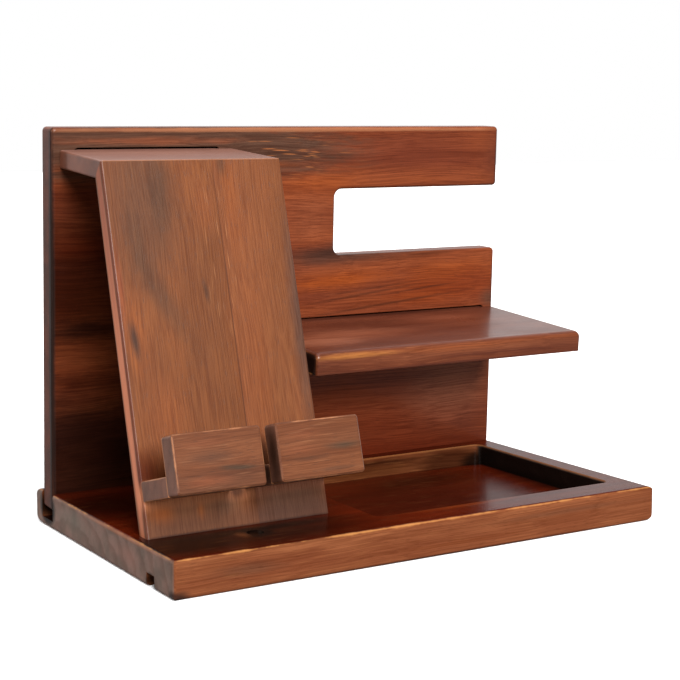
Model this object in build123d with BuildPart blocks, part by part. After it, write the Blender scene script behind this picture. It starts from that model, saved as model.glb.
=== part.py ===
from build123d import *
import math
import os

# Charging station organizer: a grooved wooden base with a sunk tray, a back panel
# standing in the groove, a shelf and a mitred phone stand, both plugged into the
# panel with loose tenons. All lengths are in millimetres, +Z up, +Y to the
# back. The origin is at the middle of the base's underside.

# Base board
base_length = 302.0
base_depth = 182.4
base_thickness = 20.0
base_front_round = 2.0
base_rear_top_round = 8.5
base_rear_low_round = 9.0
base_left_round = 2.2
base_right_top_round = 4.5
base_right_low_round = 6.5
base_corner = 2.0
mouth_chamfer = 0.7

# Groove for the back panel
groove_depth = 15.3
groove_rear_wall = 10.0
groove_play = 0.15

# Sunk tray
tray_depth = 12.2
tray_right_wall = 16.0
tray_front_wall = 21.0
tray_rear_wall = 9.5
tray_stand_gap = 18.0
tray_corner = 4.5

# Charging cable's way up through the base
channel_front_wall = 22.0
channel_width = 9.0
channel_depth = 7.0
cable_hole_diameter = 9.0

# Back panel
panel_left = 0.4
panel_length = 300.2
panel_height = 219.1
panel_thickness = 15.0
panel_lean = 2.24
panel_edge_round = 2.2
panel_corner = 2.5
foot_relief_length = 14.0
foot_relief_height = 5.4

# Open slot in the panel's right side
slot_length = 120.1
slot_height = 39.9
slot_below_top = 37.4
slot_corner = 5.0

# Accessory shelf
shelf_right_inset = 0.7
shelf_stand_gap = 6.5
shelf_depth = 87.8
shelf_thickness = 12.1
shelf_slope = 4.33
shelf_below_slot = 50.1
shelf_edge_round = 3.5
shelf_corner = 2.5

# Phone stand: bridge and sloping rest plate
bridge_depth = 55.6
bridge_slope = 4.66
bridge_below_top = 22.2
stand_width = 105.1
stand_left = 5.3
stand_thickness = 10.0
stand_edge_round = 1.2
left_stave_width = 63.5
plate_tilt = 15.6

# Loose tenons of the shelf and the bridge, in mortises stopped inside the panel
tenon_shoulder = 8.0
tenon_length = 11.5
mortise_depth = 12.0
mortise_corner = 3.0
mortise_play = 0.2

# Two small holders on the rest plate
holder_width = 48.3
holder_gap = 8.5
holder_inset = 0.4
ledge_depth = 30.5
ledge_thickness = 10.4
ledge_above_foot = 18.6
lip_height = 29.7
lip_thickness = 12.0
lip_corner = 1.8
lip_edge_chamfer = 0.9
ledge_edge_round = 0.8

# Hidden dowels and their bores
dowel_diameter = 6.0
dowel_play = 0.1
dowel_spacing = 28.0
ledge_dowel_length = 20.0
ledge_dowel_in_plate = 6.0
lip_dowel_length = 15.0
lip_dowel_in_lip = 7.0
mitre_dowel_diameter = 4.0
mitre_dowel_length = 12.0
mitre_dowel_count = 3
bore_end_room = 0.5

# Shares and the overrun of every cut
mitre_dowel_reach_share = 0.64
overrun = 5.0

base_right = base_length / 2
base_front = -base_depth / 2
base_rear = base_depth / 2
stand_start = -base_right + stand_left
stand_end = stand_start + stand_width
stand_middle = (stand_start + stand_end) / 2
panel_start = -base_right + panel_left
panel_end = panel_start + panel_length


def sin(degrees):
    return math.sin(math.radians(degrees))


def cos(degrees):
    return math.cos(math.radians(degrees))


def tan(degrees):
    return math.tan(math.radians(degrees))


# The panel stands tipped forward as far as its loose groove lets it, so the groove
# is as wide as the tipped board takes between two upright walls.
groove_rear = base_rear - groove_rear_wall
tipped_thickness = panel_thickness / cos(panel_lean)
tipped_reach = groove_depth * tan(panel_lean)
groove_width = tipped_thickness + tipped_reach + 2 * groove_play
groove_front = groove_rear - groove_width
panel_middle = groove_rear - groove_play - tipped_reach - tipped_thickness / 2

# The panel's own plane: X to the right, Y up the board, Z out of its front face.
panel_plane = Plane(
    origin=(0, panel_middle, base_thickness),
    x_dir=(1, 0, 0),
    z_dir=(0, -cos(panel_lean), -sin(panel_lean)),
)
panel_foot_rise = panel_edge_round - groove_depth
panel_foot_rise += (panel_thickness / 2 - panel_edge_round) * sin(panel_lean)
panel_foot = panel_foot_rise / cos(panel_lean) - panel_edge_round
panel_top = panel_foot + panel_height

# Heights up the panel, all hung from its top edge.
slot_above_base = panel_top - slot_below_top - slot_height
shelf_above_base = slot_above_base - shelf_below_slot
bridge_above_base = panel_top - bridge_below_top


def plugged_plane(above_base, slope):
    """Plane of a board plugged into the panel: Y to the back, Z square to the board."""
    seat = panel_plane.from_local_coords((0, above_base, panel_thickness / 2))
    return Plane(
        origin=(0, seat.Y, seat.Z),
        x_dir=(1, 0, 0),
        z_dir=(0, -sin(slope), cos(slope)),
    )


def tenon_section(board_plane):
    """Plane across a plugged board at the panel's face, Z running into the panel."""
    return Plane(
        origin=board_plane.origin, x_dir=(1, 0, 0), z_dir=board_plane.y_dir
    )


def mortise_height(board_thickness, slope):
    """Height that lets a sloping tenon slide out level through the leaning panel."""
    across = board_thickness / cos(slope - panel_lean)
    climb = mortise_depth * (tan(slope - panel_lean) + tan(panel_lean))
    return across + climb + 2 * mortise_play


shelf_plane = plugged_plane(shelf_above_base, shelf_slope)
bridge_plane = plugged_plane(bridge_above_base, bridge_slope)
shelf_end = base_right - shelf_right_inset
shelf_length = shelf_end - stand_end - shelf_stand_gap
shelf_middle = shelf_end - shelf_length / 2
shelf_tenon_width = shelf_length - 2 * tenon_shoulder
bridge_tenon_width = stand_width - 2 * tenon_shoulder

# Side profile of the phone stand, as points (Y, Z). The ridge is the outer corner of
# the mitre, and the plate runs down from it to the top of the base.
ridge_corner = bridge_plane.from_local_coords((0, -bridge_depth, stand_thickness))
ridge = Vector(ridge_corner.Y, ridge_corner.Z)
heel_corner = bridge_plane.from_local_coords((0, 0, 0))
heel = Vector(heel_corner.Y, heel_corner.Z)
crown_corner = bridge_plane.from_local_coords((0, 0, stand_thickness))
crown = Vector(crown_corner.Y, crown_corner.Z)
down_plate = Vector(-sin(plate_tilt), -cos(plate_tilt))
out_of_plate = Vector(-cos(plate_tilt), sin(plate_tilt))
along_bridge = Vector(cos(bridge_slope), sin(bridge_slope))
mitre_angle = (90 + plate_tilt + bridge_slope) / 2
mitre_length = stand_thickness / sin(mitre_angle)
mitre_line = (down_plate + along_bridge).normalized()
inner_corner = ridge + mitre_line * mitre_length
plate_length = (ridge.Y - base_thickness) / cos(plate_tilt)
front_foot = ridge + down_plate * plate_length
back_length = (inner_corner.Y - base_thickness) / cos(plate_tilt)
back_foot = inner_corner + down_plate * back_length

# The rest plate's own plane: X to the right, Y up the plate, Z out of its front face.
plate_plane = Plane(
    origin=(0, front_foot.X, front_foot.Y),
    x_dir=(1, 0, 0),
    z_dir=(0, out_of_plate.X, out_of_plate.Y),
)
plate_axis = Axis((0, 0, 0), (0, sin(plate_tilt), cos(plate_tilt)))
holder_pitch = holder_width + holder_gap
left_holder_middle = stand_start + holder_inset + holder_width / 2
right_holder_middle = left_holder_middle + holder_pitch
ledge_middle = ledge_above_foot + ledge_thickness / 2
lip_middle = ledge_above_foot + lip_height / 2
gap_middle = (left_holder_middle + right_holder_middle) / 2
channel_middle = base_front + channel_front_wall + channel_width / 2

# The tray fills the base between the phone stand, the right end, the front and the groove.
tray_left = stand_end + tray_stand_gap
tray_right = base_right - tray_right_wall
tray_front = base_front + tray_front_wall
tray_rear = groove_front - tray_rear_wall

# Dowel places: on the plate's plane, and on the mitre's plane, whose Z runs into the
# bridge and whose Y runs from the ridge to the inner corner.
dowel_shifts = [-dowel_spacing / 2, dowel_spacing / 2]
ledge_dowel_places = [
    (middle + shift, ledge_middle)
    for middle in (left_holder_middle, right_holder_middle)
    for shift in dowel_shifts
]
mitre_plane = Plane(
    origin=(0, ridge.X, ridge.Y),
    x_dir=(1, 0, 0),
    z_dir=(0, -mitre_line.Y, mitre_line.X),
)
mitre_bore_depth = mitre_dowel_length / 2 + bore_end_room
mitre_dowel_reach = mitre_length * mitre_dowel_reach_share
mitre_dowel_pitch = stand_width / mitre_dowel_count
mitre_dowel_places = [
    (stand_start + (number + 1 / 2) * mitre_dowel_pitch, mitre_dowel_reach)
    for number in range(mitre_dowel_count)
]

os.makedirs("parts", exist_ok=True)

# Base board: one thick plank, rounded over most at its rear and right end, with the
# groove, the tray, and the cable's channel and hole cut into it.
with BuildPart() as base_board:
    with BuildSketch(Plane.YZ):
        with Locations((0, base_thickness / 2)):
            Rectangle(base_depth, base_thickness)
        fillet(vertices().group_by(Axis.X)[0], base_front_round)
        fillet(vertices().group_by(Axis.X)[-1].sort_by(Axis.Y)[-1], base_rear_top_round)
        fillet(vertices().group_by(Axis.X)[-1].sort_by(Axis.Y)[0], base_rear_low_round)
    extrude(amount=base_right, both=True)
    with BuildSketch(Plane.XZ):
        with Locations((0, base_thickness / 2)):
            Rectangle(base_length, base_thickness)
        fillet(vertices().group_by(Axis.X)[0], base_left_round)
        fillet(vertices().group_by(Axis.X)[-1].sort_by(Axis.Y)[-1], base_right_top_round)
        fillet(vertices().group_by(Axis.X)[-1].sort_by(Axis.Y)[0], base_right_low_round)
    extrude(amount=base_depth, both=True, mode=Mode.INTERSECT)
    with BuildSketch(Plane.XY):
        RectangleRounded(base_length, base_depth, base_corner)
    extrude(amount=base_thickness, mode=Mode.INTERSECT)
    with BuildSketch(Plane.XY.offset(base_thickness)):
        with Locations((0, (groove_front + groove_rear) / 2)):
            Rectangle(base_length + overrun, groove_width)
    extrude(amount=-groove_depth, mode=Mode.SUBTRACT)
    with BuildSketch(Plane.XY.offset(base_thickness)):
        with Locations(((tray_left + tray_right) / 2, (tray_front + tray_rear) / 2)):
            RectangleRounded(tray_right - tray_left, tray_rear - tray_front, tray_corner)
    extrude(amount=-tray_depth, mode=Mode.SUBTRACT)
    tray_rim = edges().filter_by_position(Axis.Z, base_thickness, base_thickness)
    tray_rim = tray_rim.filter_by_position(Axis.X, tray_left, tray_right)
    tray_rim = tray_rim.filter_by_position(Axis.Y, tray_front, tray_rear)
    chamfer(tray_rim, mouth_chamfer)
    with BuildSketch(Plane.YZ.offset(-base_right)):
        with Locations((channel_middle, 0)):
            Rectangle(channel_width, 2 * channel_depth)
    channel_length = gap_middle + base_right
    extrude(amount=channel_length, mode=Mode.SUBTRACT)
    with BuildSketch(Plane.XY):
        with Locations((gap_middle, channel_middle)):
            Circle(cable_hole_diameter / 2)
    extrude(amount=base_thickness + overrun, mode=Mode.SUBTRACT)
base_board.part.label = "base_board"
export_step(base_board.part, "parts/base_board.step")

# Back panel: one upright board with a slot open to the right and two stopped mortises.
# Its arrises are rounded, and its foot is cut back where it shows at the groove's ends.
with BuildPart() as back_panel:
    with BuildSketch(panel_plane):
        with Locations(((panel_start + panel_end) / 2, (panel_top + panel_foot) / 2)):
            Rectangle(panel_length, panel_height)
        with Locations((panel_start, panel_foot), (panel_end, panel_foot)):
            Rectangle(2 * foot_relief_length, 2 * foot_relief_height, mode=Mode.SUBTRACT)
        fillet(vertices(), panel_corner)
        slot_end = panel_end - slot_length
        with Locations((slot_end, slot_above_base)):
            Rectangle(
                slot_length + overrun,
                slot_height,
                align=(Align.MIN, Align.MIN),
                mode=Mode.SUBTRACT,
            )
        slot_corners = vertices().filter_by_position(Axis.X, slot_end, slot_end)
        fillet(slot_corners, slot_corner)
        slot_mouth = vertices().filter_by_position(Axis.X, panel_end, panel_end)
        slot_mouth = slot_mouth.filter_by_position(
            Axis.Y, slot_above_base, slot_above_base + slot_height
        )
        fillet(slot_mouth, panel_corner)
    extrude(amount=panel_thickness / 2, both=True)
    panel_faces = faces().filter_by(Axis(panel_plane.origin, panel_plane.z_dir))
    fillet(panel_faces.edges(), panel_edge_round)
    with BuildSketch(panel_plane.offset(panel_thickness / 2)):
        shelf_mortise = mortise_height(shelf_thickness, shelf_slope)
        shelf_mortise_low = shelf_above_base - mortise_play
        with Locations((shelf_middle, shelf_mortise_low + shelf_mortise / 2)):
            RectangleRounded(
                shelf_tenon_width + 2 * mortise_play, shelf_mortise, mortise_corner
            )
        bridge_mortise = mortise_height(stand_thickness, bridge_slope)
        bridge_mortise_low = bridge_above_base - mortise_play
        with Locations((stand_middle, bridge_mortise_low + bridge_mortise / 2)):
            RectangleRounded(
                bridge_tenon_width + 2 * mortise_play, bridge_mortise, mortise_corner
            )
    extrude(amount=-mortise_depth, mode=Mode.SUBTRACT)
back_panel.part.label = "back_panel"
export_step(back_panel.part, "parts/back_panel.step")

# Accessory shelf: a board with rounded long edges and a full-thickness tenon plugged
# into the panel.
with BuildPart() as accessory_shelf:
    with BuildSketch(shelf_plane):
        with Locations((shelf_middle, -shelf_depth / 2)):
            Rectangle(shelf_length, shelf_depth)
        fillet(vertices().group_by(Axis.Y)[0], shelf_corner)
    extrude(amount=shelf_thickness)
    shelf_nose = edges().filter_by(Axis.X).group_by(Axis.Y)[0]
    fillet(shelf_nose, shelf_edge_round)
    with BuildSketch(tenon_section(shelf_plane)):
        with Locations((shelf_middle, -shelf_thickness / 2)):
            RectangleRounded(shelf_tenon_width, shelf_thickness, mortise_corner)
    extrude(amount=tenon_length)
accessory_shelf.part.label = "accessory_shelf"
export_step(accessory_shelf.part, "parts/accessory_shelf.step")

# Phone bridge: a short board from the panel to the ridge, mitred at the front, with
# its own tenon at the back.
with BuildPart() as phone_bridge:
    with BuildSketch(Plane.YZ.offset(stand_start)):
        with BuildLine():
            Polyline(ridge, inner_corner, heel, crown, close=True)
        make_face()
    extrude(amount=stand_width)
    bridge_sides = edges().filter_by(Axis((0, 0, 0), bridge_plane.y_dir))
    fillet(bridge_sides, stand_edge_round)
    with BuildSketch(tenon_section(bridge_plane)):
        with Locations((stand_middle, -stand_thickness / 2)):
            RectangleRounded(bridge_tenon_width, stand_thickness, mortise_corner)
    extrude(amount=tenon_length)
    with BuildSketch(mitre_plane):
        with Locations(*mitre_dowel_places):
            Circle(mitre_dowel_diameter / 2 + dowel_play)
    extrude(amount=mitre_bore_depth, mode=Mode.SUBTRACT)
phone_bridge.part.label = "phone_bridge"
export_step(phone_bridge.part, "parts/phone_bridge.step")

# Rest plate: two staves glued edge to edge, mitred to the bridge at the top, cut level
# at the foot, and bored for the dowels of the mitre and of the ledges.
right_stave_width = stand_width - left_stave_width
stave_starts = [stand_start, stand_start + left_stave_width]
stave_widths = [left_stave_width, right_stave_width]
for side, start, width in zip(["left", "right"], stave_starts, stave_widths):
    with BuildPart() as stave:
        with BuildSketch(Plane.YZ.offset(start)):
            with BuildLine():
                Polyline(ridge, inner_corner, back_foot, front_foot, close=True)
            make_face()
        extrude(amount=width)
        outer_side = faces().sort_by(Axis.X)[0 if side == "left" else -1]
        fillet(outer_side.edges().filter_by(plate_axis), stand_edge_round)
        with BuildSketch(mitre_plane):
            with Locations(*mitre_dowel_places):
                Circle(mitre_dowel_diameter / 2 + dowel_play)
        extrude(amount=-mitre_bore_depth, mode=Mode.SUBTRACT)
        with BuildSketch(plate_plane):
            with Locations(*ledge_dowel_places):
                Circle(dowel_diameter / 2 + dowel_play)
        plate_bore = ledge_dowel_in_plate + bore_end_room
        extrude(amount=-plate_bore, mode=Mode.SUBTRACT)
    stave.part.label = side + "_stave"
    export_step(stave.part, "parts/rest_plate_" + side + "_stave.step")

# Holders: each is a ledge doweled square to the rest plate and a taller lip doweled
# across the ledge's end. The gap between the two lets the charging plug up.
ledge_end_plane = plate_plane.offset(ledge_depth)
for side, middle in [("left", left_holder_middle), ("right", right_holder_middle)]:
    bore_places = [(middle + shift, ledge_middle) for shift in dowel_shifts]
    with BuildPart() as ledge:
        with BuildSketch(plate_plane):
            with Locations((middle, ledge_middle)):
                Rectangle(holder_width, ledge_thickness)
        extrude(amount=ledge_depth)
        ledge_arrises = edges().filter_by(Axis((0, 0, 0), plate_plane.z_dir))
        fillet(ledge_arrises, ledge_edge_round)
        with BuildSketch(plate_plane):
            with Locations(*bore_places):
                Circle(dowel_diameter / 2 + dowel_play)
        back_bore = ledge_dowel_length - ledge_dowel_in_plate + bore_end_room
        extrude(amount=back_bore, mode=Mode.SUBTRACT)
        with BuildSketch(ledge_end_plane):
            with Locations(*bore_places):
                Circle(dowel_diameter / 2 + dowel_play)
        front_bore = lip_dowel_length - lip_dowel_in_lip + bore_end_room
        extrude(amount=-front_bore, mode=Mode.SUBTRACT)
    ledge.part.label = side + "_ledge"
    export_step(ledge.part, "parts/" + side + "_ledge.step")
    with BuildPart() as lip:
        with BuildSketch(ledge_end_plane):
            with Locations((middle, lip_middle)):
                RectangleRounded(holder_width, lip_height, lip_corner)
        extrude(amount=lip_thickness)
        lip_faces = faces().filter_by(Axis((0, 0, 0), plate_plane.z_dir))
        lip_front = lip_faces.sort_by(Axis((0, 0, 0), plate_plane.z_dir))[-1]
        chamfer(lip_front.edges(), lip_edge_chamfer)
        with BuildSketch(ledge_end_plane):
            with Locations(*bore_places):
                Circle(dowel_diameter / 2 + dowel_play)
        extrude(amount=lip_dowel_in_lip + bore_end_room, mode=Mode.SUBTRACT)
    lip.part.label = side + "_lip"
    export_step(lip.part, "parts/" + side + "_lip.step")

# Hidden dowels: each set is a group of plain round pegs, shorter than their bores.
with BuildPart() as mitre_dowels:
    with BuildSketch(mitre_plane):
        with Locations(*mitre_dowel_places):
            Circle(mitre_dowel_diameter / 2)
    extrude(amount=mitre_dowel_length / 2, both=True)
mitre_dowels.part.label = "mitre_dowels"
export_step(mitre_dowels.part, "parts/mitre_dowels.step")

with BuildPart() as ledge_dowels:
    with BuildSketch(plate_plane.offset(-ledge_dowel_in_plate)):
        with Locations(*ledge_dowel_places):
            Circle(dowel_diameter / 2)
    extrude(amount=ledge_dowel_length)
ledge_dowels.part.label = "ledge_dowels"
export_step(ledge_dowels.part, "parts/ledge_dowels.step")

with BuildPart() as lip_dowels:
    with BuildSketch(ledge_end_plane.offset(lip_dowel_in_lip)):
        with Locations(*ledge_dowel_places):
            Circle(dowel_diameter / 2)
    extrude(amount=-lip_dowel_length)
lip_dowels.part.label = "lip_dowels"
export_step(lip_dowels.part, "parts/lip_dowels.step")
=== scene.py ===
import math

import bpy
from mathutils import Euler, Matrix, Vector

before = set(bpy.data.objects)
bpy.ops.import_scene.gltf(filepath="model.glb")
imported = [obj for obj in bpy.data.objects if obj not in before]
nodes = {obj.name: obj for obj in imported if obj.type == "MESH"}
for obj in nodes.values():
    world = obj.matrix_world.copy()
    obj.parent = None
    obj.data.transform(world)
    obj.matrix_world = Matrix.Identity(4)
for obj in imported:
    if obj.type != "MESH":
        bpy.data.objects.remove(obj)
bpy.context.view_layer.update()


# Base board
# The plank that everything stands on: strong-grained hardwood, stained red-brown, with a soft gloss.
# It is planed, grooved and routed from one board, and its arrises are rubbed pale by sanding.

# A shader node with its settings, and its inputs given a value or joined to another node.
def put(tree, kind, values=None, **settings):
    node = tree.nodes.new(kind)
    for setting, value in settings.items():
        setattr(node, setting, value)
    for socket, value in (values or {}).items():
        if isinstance(value, bpy.types.NodeSocket):
            tree.links.new(value, node.inputs[socket])
        else:
            node.inputs[socket].default_value = value
    return node


# A sum worked on numbers, such as ADD, MULTIPLY or MINIMUM, and below it the same on vectors.
def sum_of(tree, operation, a, b=0.0, c=0.0):
    return put(tree, "ShaderNodeMath", {0: a, 1: b, 2: c}, operation=operation).outputs[0]


def vector_of(tree, operation, a, b=(0.0, 0.0, 0.0)):
    return put(tree, "ShaderNodeVectorMath", {0: a, 1: b}, operation=operation).outputs[0]


def scaled_by(tree, vector, amount):
    return put(tree, "ShaderNodeVectorMath", {0: vector, "Scale": amount}, operation="SCALE").outputs[0]


def length_of(tree, vector):
    return put(tree, "ShaderNodeVectorMath", {0: vector}, operation="LENGTH").outputs["Value"]


# A value taken from one range to another, and held at both ends.
def ramp_of(tree, value, low, high, out_low=0.0, out_high=1.0, smooth=True):
    kind = "SMOOTHSTEP" if smooth else "LINEAR"
    values = {"Value": value, "From Min": low, "From Max": high, "To Min": out_low, "To Max": out_high}
    return put(tree, "ShaderNodeMapRange", values, interpolation_type=kind, clamp=True).outputs[0]


# Colour b laid over colour a, as much as the share says.
def blend_of(tree, share, a, b, way="MIX"):
    values = {0: share, 6: a, 7: b}
    return put(tree, "ShaderNodeMix", values, data_type="RGBA", blend_type=way, clamp_factor=True).outputs[2]


def noise_of(tree, place, scale, detail, roughness=0.5):
    values = {"Vector": place, "Scale": scale, "Detail": detail, "Roughness": roughness}
    return put(tree, "ShaderNodeTexNoise", values).outputs


# Small cells. Distance is how far a point is from its cell's middle.
def cells_of(tree, place, scale):
    return put(tree, "ShaderNodeTexVoronoi", {"Vector": place, "Scale": scale}, feature="F1").outputs


# A number from 0 to 1 that is each cell's own, so that only some of the cells show.
def chance_of(tree, cells, which=0):
    return put(tree, "ShaderNodeSeparateColor", {0: cells["Color"]}).outputs[which]


# A group of shader nodes with named inputs and outputs: v is for a vector and f for a number.
def new_group(name, takes, gives):
    group = bpy.data.node_groups.new(name, "ShaderNodeTree")
    kinds = {"v": "NodeSocketVector", "f": "NodeSocketFloat"}
    for label, kind in takes.items():
        group.interface.new_socket(label, in_out="INPUT", socket_type=kinds[kind])
    for label, kind in gives.items():
        group.interface.new_socket(label, in_out="OUTPUT", socket_type=kinds[kind])
    return group, group.nodes.new("NodeGroupInput").outputs, group.nodes.new("NodeGroupOutput").inputs


# The board's point moved on by its seed, so that no two boards have the same figure.
def seeded_point(tree, takes, step):
    return vector_of(tree, "ADD", takes["Point"], scaled_by(tree, step, takes["Seed"]))


# Wood grain seen along the board, X along the grain, in metres. Fibre is how many fibres there are to a
# metre, Length how many times longer than wide they are, Ring how wide a growth ring is, Wander how far
# the grain strays, and Pith where the middle of the trunk was. The values below it are how many pores,
# flecks and clouds there are to a metre, along the grain and across it.
pores_a_metre = (140.0, 1500.0, 1500.0)
flecks_a_metre = (55.0, 1000.0, 1000.0)
clouds_a_metre = (9.0, 42.0, 42.0)
ring_flattening = (0.045, 1.0, 1.0)
board_grain, grain_in, grain_out = new_group(
    "board_grain",
    {"Point": "v", "Seed": "f", "Fibre": "f", "Length": "f", "Ring": "f", "Wander": "f", "Pith": "v"},
    {"Fibres": "f", "Rings": "f", "Pores": "f", "Flecks": "f", "Cloud": "f", "Height": "f"},
)
shifted = seeded_point(board_grain, grain_in, (0.713, 0.379, 0.531))
drift = noise_of(board_grain, shifted, 11.0, 2.0)["Color"]
drift = vector_of(board_grain, "SUBTRACT", drift, (0.5, 0.5, 0.5))
drift = scaled_by(board_grain, drift, grain_in["Wander"])
wandered = vector_of(board_grain, "ADD", shifted, drift)
lengthwise = sum_of(board_grain, "DIVIDE", grain_in["Fibre"], grain_in["Length"])
stretch = {0: lengthwise, 1: grain_in["Fibre"], 2: grain_in["Fibre"]}
stretch = put(board_grain, "ShaderNodeCombineXYZ", stretch).outputs[0]
along = vector_of(board_grain, "MULTIPLY", wandered, stretch)
fibre_noise = noise_of(board_grain, along, 1.0, 5.0, 0.62)[0]
fibres = ramp_of(board_grain, fibre_noise, 0.3, 0.7)
ring_point = vector_of(board_grain, "ADD", grain_in["Point"], drift)
from_pith = vector_of(board_grain, "SUBTRACT", ring_point, grain_in["Pith"])
from_pith = vector_of(board_grain, "MULTIPLY", from_pith, ring_flattening)
ring_count = sum_of(board_grain, "DIVIDE", length_of(board_grain, from_pith), grain_in["Ring"])
ring_wobble = noise_of(board_grain, along, 0.06, 3.0)[0]
ring_wobble = sum_of(board_grain, "MULTIPLY", ring_wobble, 1.1)
ring_part = sum_of(board_grain, "FRACT", sum_of(board_grain, "ADD", ring_count, ring_wobble))
ring_rise = ramp_of(board_grain, ring_part, 0.25, 0.86)
ring_fall = ramp_of(board_grain, ring_part, 0.88, 1.0, 1.0, 0.0)
rings = sum_of(board_grain, "MULTIPLY", ring_rise, ring_fall)
pore_cells = cells_of(board_grain, vector_of(board_grain, "MULTIPLY", wandered, pores_a_metre), 1.0)
pore_dots = ramp_of(board_grain, pore_cells["Distance"], 0.16, 0.3, 1.0, 0.0)
pore_chance = ramp_of(board_grain, chance_of(board_grain, pore_cells), 0.55, 0.65)
pores = sum_of(board_grain, "MULTIPLY", pore_dots, pore_chance)
fleck_cells = cells_of(board_grain, vector_of(board_grain, "MULTIPLY", wandered, flecks_a_metre), 1.0)
fleck_dots = ramp_of(board_grain, fleck_cells["Distance"], 0.12, 0.42, 1.0, 0.0)
fleck_chance = ramp_of(board_grain, chance_of(board_grain, fleck_cells, 1), 0.55, 0.7)
flecks = sum_of(board_grain, "MULTIPLY", fleck_dots, fleck_chance)
cloud_place = vector_of(board_grain, "MULTIPLY", wandered, clouds_a_metre)
cloud_noise = noise_of(board_grain, cloud_place, 1.0, 3.0, 0.55)[0]
cloud = ramp_of(board_grain, cloud_noise, 0.32, 0.68)
grain_height = sum_of(board_grain, "MULTIPLY_ADD", fibres, 0.5, 0.3)
grain_height = sum_of(board_grain, "MULTIPLY_ADD", pores, -0.6, grain_height)
grain_parts = {
    "Fibres": fibres, "Rings": rings, "Pores": pores,
    "Flecks": flecks, "Cloud": cloud, "Height": grain_height,
}
for label, socket in grain_parts.items():
    board_grain.links.new(socket, grain_out[label])

# The cut ends of the fibres: fine dots and a soft mottle.
end_grain, end_in, end_out = new_group("end_grain", {"Point": "v", "Seed": "f"}, {"Dots": "f", "Mottle": "f"})
end_point = seeded_point(end_grain, end_in, (0.231, 0.917, 0.477))
end_cells = cells_of(end_grain, end_point, 1500.0)
end_noise = noise_of(end_grain, end_point, 70.0, 4.0, 0.55)[0]
end_grain.links.new(ramp_of(end_grain, end_cells["Distance"], 0.12, 0.4, 1.0, 0.0), end_out["Dots"])
end_grain.links.new(ramp_of(end_grain, end_noise, 0.3, 0.7), end_out["Mottle"])

# Where a board's arrises are, rubbed through unevenly by sanding and handling. A point is on an arris
# where two faces are near it, so the second nearest face decides.
worn_arris, arris_in, arris_out = new_group(
    "worn_arris",
    {"Point": "v", "Half Size": "v", "Width": "f", "Seed": "f"},
    {"Arris": "f", "Dark": "f"},
)
to_faces = vector_of(worn_arris, "ABSOLUTE", arris_in["Point"])
to_faces = vector_of(worn_arris, "SUBTRACT", arris_in["Half Size"], to_faces)
to_faces = put(worn_arris, "ShaderNodeSeparateXYZ", {0: to_faces}).outputs
near_two = sum_of(worn_arris, "MINIMUM", to_faces[0], to_faces[1])
far_two = sum_of(worn_arris, "MAXIMUM", to_faces[0], to_faces[1])
far_or_flat = sum_of(worn_arris, "MINIMUM", far_two, to_faces[2])
second_face = sum_of(worn_arris, "MAXIMUM", near_two, far_or_flat)
rub_point = seeded_point(worn_arris, arris_in, (0.619, 0.143, 0.857))
rub_noise = noise_of(worn_arris, rub_point, 70.0, 4.0, 0.6)[0]
rub_width = ramp_of(worn_arris, rub_noise, 0.3, 0.7, 0.35, 1.5, smooth=False)
rub_reach = sum_of(worn_arris, "MULTIPLY", rub_width, arris_in["Width"])
rub_share = sum_of(worn_arris, "DIVIDE", second_face, rub_reach)
worn_arris.links.new(ramp_of(worn_arris, rub_share, 0.15, 1.0, 1.0, 0.0), arris_out["Arris"])
worn_arris.links.new(ramp_of(worn_arris, rub_share, 0.6, 3.5, 1.0, 0.0), arris_out["Dark"])

# Varnish: its gloss is uneven, with brush drag along the grain and a few dust nibs.
varnish, varnish_in, varnish_out = new_group(
    "varnish",
    {"Point": "v", "Seed": "f", "Matt": "f", "Uneven": "f", "Sheen": "f"},
    {"Roughness": "f", "Coat": "f", "Height": "f"},
)
coat_point = seeded_point(varnish, varnish_in, (0.377, 0.771, 0.219))
drags_a_metre = (22.0, 260.0, 260.0)
drag = noise_of(varnish, vector_of(varnish, "MULTIPLY", coat_point, drags_a_metre), 1.0, 2.0)[0]
pool = noise_of(varnish, coat_point, 34.0, 3.0)[0]
nib_cells = cells_of(varnish, coat_point, 420.0)
nib_dots = ramp_of(varnish, nib_cells["Distance"], 0.05, 0.2, 1.0, 0.0)
nibs = sum_of(varnish, "MULTIPLY", nib_dots, ramp_of(varnish, chance_of(varnish, nib_cells), 0.9, 0.92))
unevenness = sum_of(varnish, "MULTIPLY_ADD", pool, 1.3, sum_of(varnish, "MULTIPLY", drag, 0.7))
unevenness = sum_of(varnish, "SUBTRACT", unevenness, 1.0)
rough = sum_of(varnish, "MULTIPLY_ADD", unevenness, varnish_in["Uneven"], varnish_in["Matt"])
varnish.links.new(sum_of(varnish, "MAXIMUM", rough, 0.05), varnish_out["Roughness"])
coat_share = ramp_of(varnish, pool, 0.25, 0.75, 1.0, 0.6)
varnish.links.new(sum_of(varnish, "MULTIPLY", coat_share, varnish_in["Sheen"]), varnish_out["Coat"])
varnish_height = sum_of(varnish, "MULTIPLY_ADD", drag, 0.35, sum_of(varnish, "MULTIPLY", nibs, 0.6))
varnish.links.new(varnish_height, varnish_out["Height"])

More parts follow.
